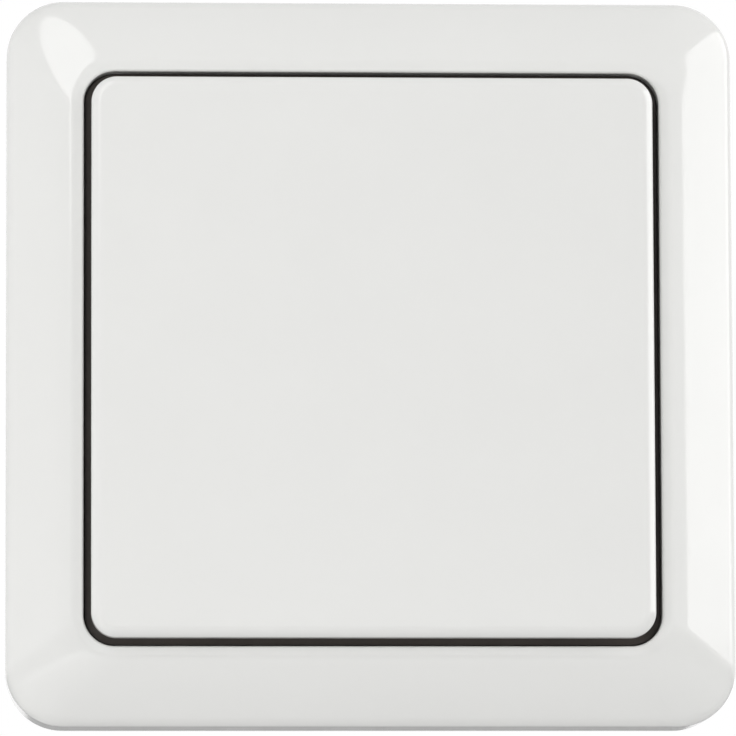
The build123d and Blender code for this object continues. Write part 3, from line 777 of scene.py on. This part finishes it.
class WALLSWITCH_OT_springs(Operator):
    """Builds the return springs and snap domes"""

    bl_idname = "wallswitch.springs"
    bl_label = "Return springs and snap domes"

    def execute(self, context):
        sizes = context.scene.switch_springs
        finishes = context.scene.switch_finishes
        steel = brushed_metal("spring_steel", context.scene.switch_works.spring, 0.3)
        wind = coil_tree()
        carry = square_loft_tree()
        for place in ("upper", "lower"):
            self.spring(place, sizes, finishes, steel, wind)
            self.dome(place, sizes, finishes, steel, carry)
        return {"FINISHED"}

    def spring(self, place, sizes, finishes, steel, wind):
        """A return spring: a coil of round wire wound to fill its CAD node's box."""
        node = f"{place}_return_spring"
        low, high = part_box(node)
        middle = (low + high) / 2
        coil = grown(
            points_mesh([]),
            wind,
            turns=sizes.turns,
            coil_radius=(high.x - low.x - sizes.wire) / 2,
            height=high.y - low.y - sizes.wire,
            wire_radius=sizes.wire / 2,
            turn_steps=finishes.corner_steps,
            wire_sides=finishes.arc_steps,
            material=steel,
        )
        coil.transform(Matrix.Translation((middle.x, high.y - sizes.wire / 2, middle.z)))
        piece = new_piece(f"{place}_spring_wire", [coil], steel, node)
        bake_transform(piece)

    def dome(self, place, sizes, finishes, steel, carry):
        """A snap dome: a crowned metal shell."""
        node = f"{place}_snap_dome"
        low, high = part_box(node)
        radius = (high.x - low.x) / 2
        height = high.y - low.y
        outside = crown(radius, -high.y, height, finishes.arc_steps)
        inside = crown(radius - sizes.dome_rim, -high.y, height - sizes.dome_metal, finishes.arc_steps)
        profile = round_profile(outside + inside[::-1])
        shell = grown(profile, carry, corner_steps=finishes.corner_steps, material=steel)
        shell.transform(Matrix.Translation((0.0, 0.0, (low.z + high.z) / 2)))
        piece = new_piece(f"{place}_dome_metal", [shell], steel, node)
        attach(piece, "switch_base")
        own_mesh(piece)


class WALLSWITCH_OT_carrier(Operator):
    """Gives the base plate and the case their dark moulded finish"""

    bl_idname = "wallswitch.carrier"
    bl_label = "Base plate and case"

    def execute(self, context):
        tint = context.scene.switch_finishes.carrier
        paint_nodes(matte_plastic("base_plate_plastic", tint, 0.5), "base_plate")
        paint_nodes(matte_plastic("case_plastic", tint, 0.55), "case_cover", "case_tray")
        return {"FINISHED"}


CHIP_GRAIN = 0.12 * MM
CERAMIC_GRAIN = 0.1 * MM


class WALLSWITCH_OT_works(Operator):
    """Gives the push rods, battery and circuit board their finishes"""

    bl_idname = "wallswitch.works"
    bl_label = "Transmitter and push rods"

    def execute(self, context):
        colours = context.scene.switch_works
        rod_plastic = matte_plastic("rod_plastic", colours.rod, 0.35)
        finishes = {
            "circuit_board": laminate("board_laminate", colours),
            "upper_push_rod": rod_plastic,
            "lower_push_rod": rod_plastic,
            "battery_clip": brushed_metal("clip_steel", colours.clip, 0.32, DRAWN_ACROSS),
            "coin_cell": brushed_metal("cell_steel", colours.cell, 0.28),
            "battery_contact": brushed_metal("contact_brass", colours.contact, 0.33),
            "antenna": brushed_metal("tinned_wire", colours.antenna, 0.35),
            "transmitter_chip": matte_plastic("chip_plastic", colours.chip, 0.6, CHIP_GRAIN),
            "resonator": matte_plastic("resonator_ceramic", colours.resonator, 0.45, CERAMIC_GRAIN),
            "indicator_lamp": gloss_plastic("lamp_plastic", colours.lamp, 0.15),
            "chip_resistors": matte_plastic("resistor_ceramic", colours.resistor, 0.35, CERAMIC_GRAIN),
            "chip_capacitors": matte_plastic("capacitor_ceramic", colours.capacitor, 0.4, CERAMIC_GRAIN),
        }
        for node, material in finishes.items():
            paint_nodes(material, node)
        return {"FINISHED"}


class WALLSWITCH_OT_screws(Operator):
    """Gives the screws their plated finish"""

    bl_idname = "wallswitch.screws"
    bl_label = "Screws"

    def execute(self, context):
        steel = brushed_metal("screw_steel", context.scene.switch_works.screw, 0.3)
        paint_nodes(steel, "module_screws", "case_screws")
        return {"FINISHED"}


def shown_ray(nodes):
    """1 for rays from the camera and those that gloss or glass sends on, else 0."""
    path = nodes.add("ShaderNodeLightPath").outputs
    direct = nodes.math("MAXIMUM", path["Is Camera Ray"], path["Is Glossy Ray"])
    return nodes.math("MAXIMUM", direct, path["Is Transmission Ray"])


def direction(azimuth, elevation):
    """The unit vector from the switch towards an azimuth to the right of its front and an elevation."""
    flat = math.cos(elevation)
    return Vector((math.sin(azimuth) * flat, -math.cos(azimuth) * flat, math.sin(elevation)))


def aimed(obj, towards):
    """Turns an object at its place to look at a point, upright."""
    obj.rotation_mode = "QUATERNION"
    obj.rotation_quaternion = (towards - obj.location).to_track_quat("-Z", "Y")


def rolled(obj, turn):
    """Turns an object about the way it looks."""
    obj.rotation_quaternion = obj.rotation_quaternion @ Matrix.Rotation(turn, 3, "Z").to_quaternion()


def softbox(label, azimuth, elevation, width, height, brightness, oval=False, mirrored=True):
    """A rectangular or oval lamp that faces the switch, with this brightness on its face."""
    lamp = bpy.data.lights.new(label, "AREA")
    lamp.shape = "ELLIPSE" if oval else "RECTANGLE"
    lamp.size = width
    lamp.size_y = height
    area = width * height * (math.pi / 4 if oval else 1.0)
    lamp.energy = brightness * math.pi * area
    obj = bpy.data.objects.new(label, lamp)
    obj.location = direction(math.radians(azimuth), math.radians(elevation)) * LAMP_DISTANCE
    obj.visible_camera = False
    obj.visible_glossy = mirrored
    aimed(obj, Vector())
    bpy.context.scene.collection.objects.link(obj)


# Angles are degrees. The fill and back lamps only light the switch: its gloss doesn't mirror them.
LAMP_DISTANCE = 1.0
SOFTBOXES = {
    "side_lamp": dict(azimuth=81, elevation=21, width=1.2, height=0.68, brightness=2.6),
    "corner_lamp": dict(azimuth=-31, elevation=35, width=0.47, height=1.04, brightness=2.2, oval=True),
    "fill_lamp": dict(azimuth=-32, elevation=-9, width=0.8, height=0.24, brightness=6.9, mirrored=False),
    "back_lamp": dict(azimuth=180, elevation=20, width=1.0, height=0.6, brightness=1.2, mirrored=False),
}
WHITE = (1.0, 1.0, 1.0, 1.0)


class WALLSWITCH_OT_stage(Operator):
    """Sets up the camera, the pale floor, the white surroundings and the lamps"""

    bl_idname = "wallswitch.stage"
    bl_label = "Stage"

    def execute(self, context):
        scene = context.scene
        settings = scene.switch_stage
        self.camera(scene, settings)
        self.surroundings(scene, settings)
        self.floor(scene, settings)
        for label, lamp in SOFTBOXES.items():
            softbox(label, **lamp)
        scene.view_settings.view_transform = "Standard"
        return {"FINISHED"}

    def camera(self, scene, settings):
        """The camera, at the photograph's angle."""
        data = bpy.data.cameras.new("camera")
        data.lens = settings.lens
        obj = bpy.data.objects.new("camera", data)
        obj.location = direction(settings.azimuth, settings.elevation) * settings.distance
        aimed(obj, Vector())
        view = obj.rotation_quaternion.to_matrix()
        aimed(obj, settings.aim_right * view.col[0] + settings.aim_up * view.col[1])
        rolled(obj, settings.roll)
        scene.collection.objects.link(obj)
        scene.camera = obj

    def surroundings(self, scene, settings):
        """White to look at and in reflections; its light comes from around, not from ahead or behind."""
        world = bpy.data.worlds.new("surroundings")
        world.use_nodes = True
        nodes = Nodes(world.node_tree)
        way = nodes.add("ShaderNodeTexCoord").outputs["Generated"]
        depth = nodes.add("ShaderNodeSeparateXYZ", {0: way}).outputs["Y"]
        around = nodes.math("SUBTRACT", 1.0, nodes.math("ABSOLUTE", depth))
        light = nodes.math("MULTIPLY", nodes.math("MULTIPLY", around, around), settings.surroundings)
        shown = shown_ray(nodes)
        hidden = nodes.math("MULTIPLY", light, nodes.math("SUBTRACT", 1.0, shown))
        strength = nodes.math("ADD", shown, hidden)
        background = nodes.add("ShaderNodeBackground", {"Color": WHITE, "Strength": strength})
        nodes.add("ShaderNodeOutputWorld", {"Surface": background.outputs[0]})
        scene.world = world

    def floor(self, scene, settings):
        """A wide pale floor under the switch."""
        mesh = bpy.data.meshes.new("floor")
        disc = bmesh.new()
        size = dict(segments=settings.floor_steps, radius=settings.floor_radius)
        bmesh.ops.create_circle(disc, cap_ends=True, **size)
        bmesh.ops.translate(disc, verts=disc.verts, vec=(0.0, 0.0, -settings.floor_drop))
        disc.to_mesh(mesh)
        disc.free()
        material, nodes, place = new_material("floor_paper")
        cloud = noise(nodes, place, settings.floor_cloud)
        paper = tinted(nodes, cloud, [settings.floor_white] * 3, change=0.01)
        mesh.materials.append(finish_material(nodes, material, Base_Color=paper, Roughness=0.9))
        obj = bpy.data.objects.new("floor", mesh)
        scene.collection.objects.link(obj)


PIECE_OPERATORS = (
    WALLSWITCH_OT_frame,
    WALLSWITCH_OT_rocker,
    WALLSWITCH_OT_springs,
    WALLSWITCH_OT_carrier,
    WALLSWITCH_OT_works,
    WALLSWITCH_OT_screws,
    WALLSWITCH_OT_stage,
)
SETTINGS = {
    "switch_frame": FrameSizes,
    "switch_rocker": RockerSizes,
    "switch_springs": SpringSizes,
    "switch_finishes": Finishes,
    "switch_works": WorksColours,
    "switch_stage": StageSettings,
}


class WALLSWITCH_PT_panel(Panel):
    """Lists the steps that build the switch, and their settings"""

    bl_idname = "WALLSWITCH_PT_panel"
    bl_label = "Wall Switch"
    bl_space_type = "VIEW_3D"
    bl_region_type = "UI"
    bl_category = "Wall Switch"

    def draw(self, context):
        for operator in PIECE_OPERATORS:
            self.layout.operator(operator.bl_idname)
        for name, group in SETTINGS.items():
            box = self.layout.box()
            box.label(text=group.__doc__)
            for setting in group.__annotations__:
                box.prop(getattr(context.scene, name), setting)


def register():
    """Registers the classes and hangs the settings on the scene."""
    for name, group in SETTINGS.items():
        bpy.utils.register_class(group)
        setattr(bpy.types.Scene, name, PointerProperty(type=group))
    for cls in (*PIECE_OPERATORS, WALLSWITCH_PT_panel):
        bpy.utils.register_class(cls)


def unregister():
    """Takes the classes and the settings away again."""
    for cls in (WALLSWITCH_PT_panel, *reversed(PIECE_OPERATORS)):
        bpy.utils.unregister_class(cls)
    for name, group in SETTINGS.items():
        delattr(bpy.types.Scene, name)
        bpy.utils.unregister_class(group)


def main():
    """Builds the switch and its stage."""
    register()
    bpy.ops.wallswitch.frame()
    bpy.ops.wallswitch.rocker()
    bpy.ops.wallswitch.springs()
    bpy.ops.wallswitch.carrier()
    bpy.ops.wallswitch.works()
    bpy.ops.wallswitch.screws()
    bpy.ops.wallswitch.stage()


if __name__ == "__main__":
    main()
